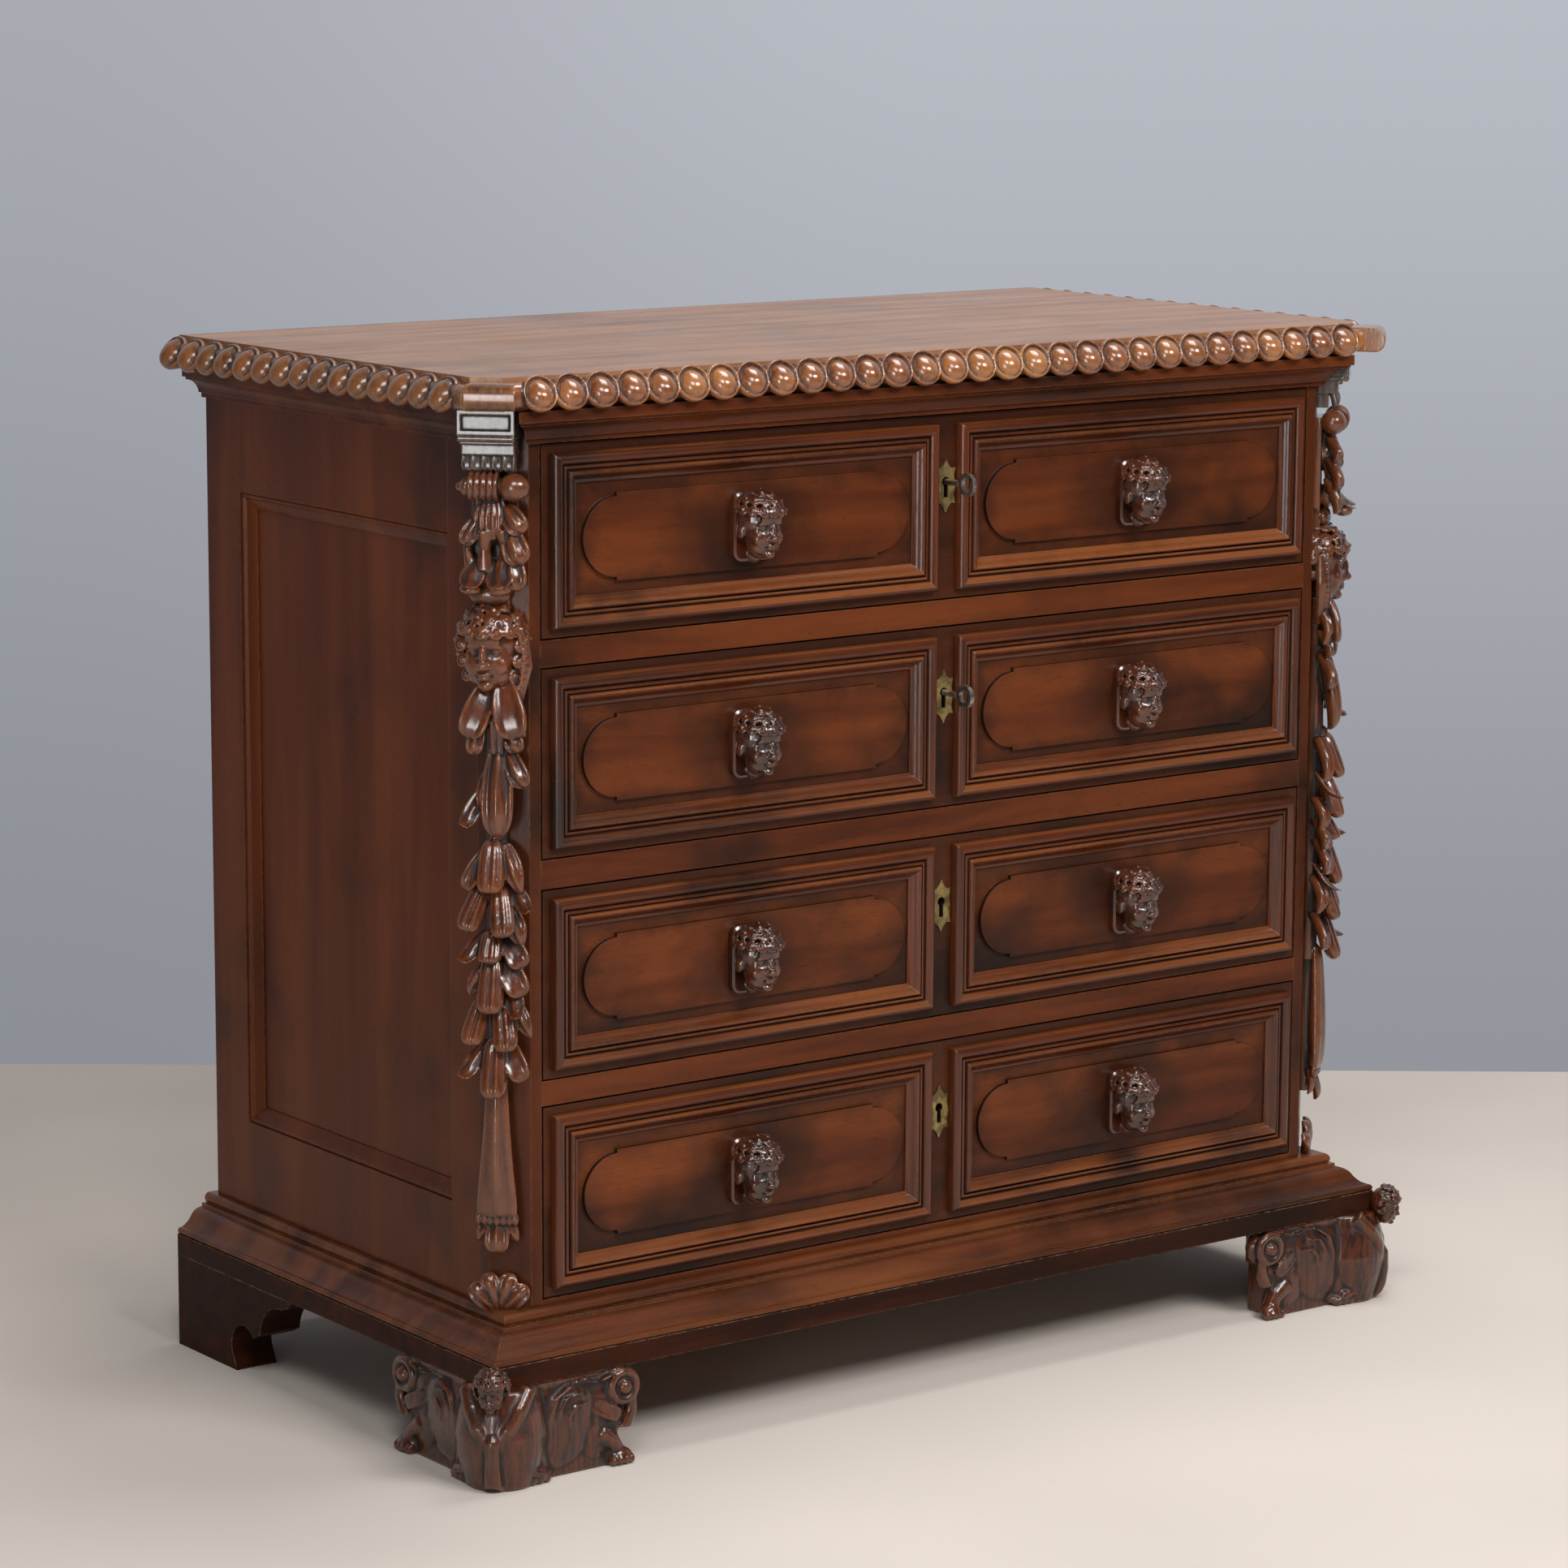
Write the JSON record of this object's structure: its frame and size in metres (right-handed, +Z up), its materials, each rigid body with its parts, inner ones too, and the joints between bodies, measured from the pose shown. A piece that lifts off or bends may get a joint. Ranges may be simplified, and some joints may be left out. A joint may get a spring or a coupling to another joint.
{
  "type": "chest of drawers",
  "caption": "Carved walnut chest of drawers in late baroque style, lobed top edge, canted corners with garlands, framed sliding drawers with mask knobs and locks.",
  "frame": {"origin": "on the floor under the middle of the bounding box", "axes": "+Z up, +X to the viewer's right when facing the drawers, -Y out of the front"},
  "size_m": [1.129, 0.593, 1],
  "materials": {
    "walnut": "waxed, aged",
    "carved_walnut": "carved, burnished",
    "inner_wood": "bare, darkened",
    "brass": "old, rubbed",
    "iron": "forged, dark",
    "steel": "worn"
  },
  "bodies": {
    "carcass": {"top_board": "walnut", "cornice_moulding": "walnut", "left_side_frame": "walnut", "right_side_frame": "walnut", "left_side_panel": "walnut", "right_side_panel": "walnut", "left_corner_post": "walnut", "right_corner_post": "walnut", "front_rails": "walnut", "plinth_moulding": "walnut", "base_rail": "walnut", "rear_left_foot": "walnut", "rear_right_foot": "walnut", "gadroon_moulding_front": "carved_walnut", "gadroon_moulding_left": "carved_walnut", "gadroon_moulding_right": "carved_walnut", "left_capital": "carved_walnut", "right_capital": "carved_walnut", "left_pilaster_carving": "carved_walnut", "right_pilaster_carving": "carved_walnut", "front_left_foot": "carved_walnut", "front_right_foot": "carved_walnut", "drawer_runners": "inner_wood", "back_boards": "inner_wood", "bottom_board": "inner_wood"},
    "drawer_1": {"drawer_1_front": "walnut", "drawer_1_frames": "carved_walnut", "drawer_1_box": "inner_wood", "drawer_1_bottom": "inner_wood", "drawer_1_knobs": "carved_walnut", "drawer_1_escutcheon": "brass", "drawer_1_lock": "iron"},
    "bolt_1": {"drawer_1_bolt": "iron"},
    "drawer_2": {"drawer_2_front": "walnut", "drawer_2_frames": "carved_walnut", "drawer_2_box": "inner_wood", "drawer_2_bottom": "inner_wood", "drawer_2_knobs": "carved_walnut", "drawer_2_escutcheon": "brass", "drawer_2_lock": "iron"},
    "bolt_2": {"drawer_2_bolt": "iron"},
    "drawer_3": {"drawer_3_front": "walnut", "drawer_3_frames": "carved_walnut", "drawer_3_box": "inner_wood", "drawer_3_bottom": "inner_wood", "drawer_3_knobs": "carved_walnut", "drawer_3_escutcheon": "brass", "drawer_3_lock": "iron"},
    "bolt_3": {"drawer_3_bolt": "iron"},
    "drawer_4": {"drawer_4_front": "walnut", "drawer_4_frames": "carved_walnut", "drawer_4_box": "inner_wood", "drawer_4_bottom": "inner_wood", "drawer_4_knobs": "carved_walnut", "drawer_4_escutcheon": "brass", "drawer_4_lock": "iron"},
    "bolt_4": {"drawer_4_bolt": "iron"},
    "key_1": {"key_1": "steel"},
    "key_2": {"key_2": "steel"}
  },
  "joints": [
    {"name": "drawer_1_slide", "type": "slide", "parent": "carcass", "child": "drawer_1", "axis": [0, -1, 0], "range_m": [0, 0.36]},
    {"name": "bolt_1_slide", "type": "slide", "parent": "drawer_1", "child": "bolt_1", "axis": [0, 0, 1], "range_m": [0, 0.008]},
    {"name": "drawer_2_slide", "type": "slide", "parent": "carcass", "child": "drawer_2", "axis": [0, -1, 0], "range_m": [0, 0.36]},
    {"name": "bolt_2_slide", "type": "slide", "parent": "drawer_2", "child": "bolt_2", "axis": [0, 0, 1], "range_m": [0, 0.008]},
    {"name": "drawer_3_slide", "type": "slide", "parent": "carcass", "child": "drawer_3", "axis": [0, -1, 0], "range_m": [0, 0.36]},
    {"name": "bolt_3_slide", "type": "slide", "parent": "drawer_3", "child": "bolt_3", "axis": [0, 0, 1], "range_m": [0, 0.008]},
    {"name": "drawer_4_slide", "type": "slide", "parent": "carcass", "child": "drawer_4", "axis": [0, -1, 0], "range_m": [0, 0.36]},
    {"name": "bolt_4_slide", "type": "slide", "parent": "drawer_4", "child": "bolt_4", "axis": [0, 0, 1], "range_m": [0, 0.008]},
    {"name": "key_1_turn", "type": "hinge", "parent": "drawer_1", "child": "key_1", "pos_m": [0, -0.2555, 0.8745], "axis": [0, 1, 0], "range_deg": [0, 180]},
    {"name": "key_2_turn", "type": "hinge", "parent": "drawer_2", "child": "key_2", "pos_m": [0, -0.2555, 0.674], "axis": [0, 1, 0], "range_deg": [0, 180]}
  ],
  "couplings": [
    {"joint": "key_1_turn", "follows": "bolt_1_slide", "rad_per_m": 392.69},
    {"joint": "key_2_turn", "follows": "bolt_2_slide", "rad_per_m": 392.69}
  ]
}
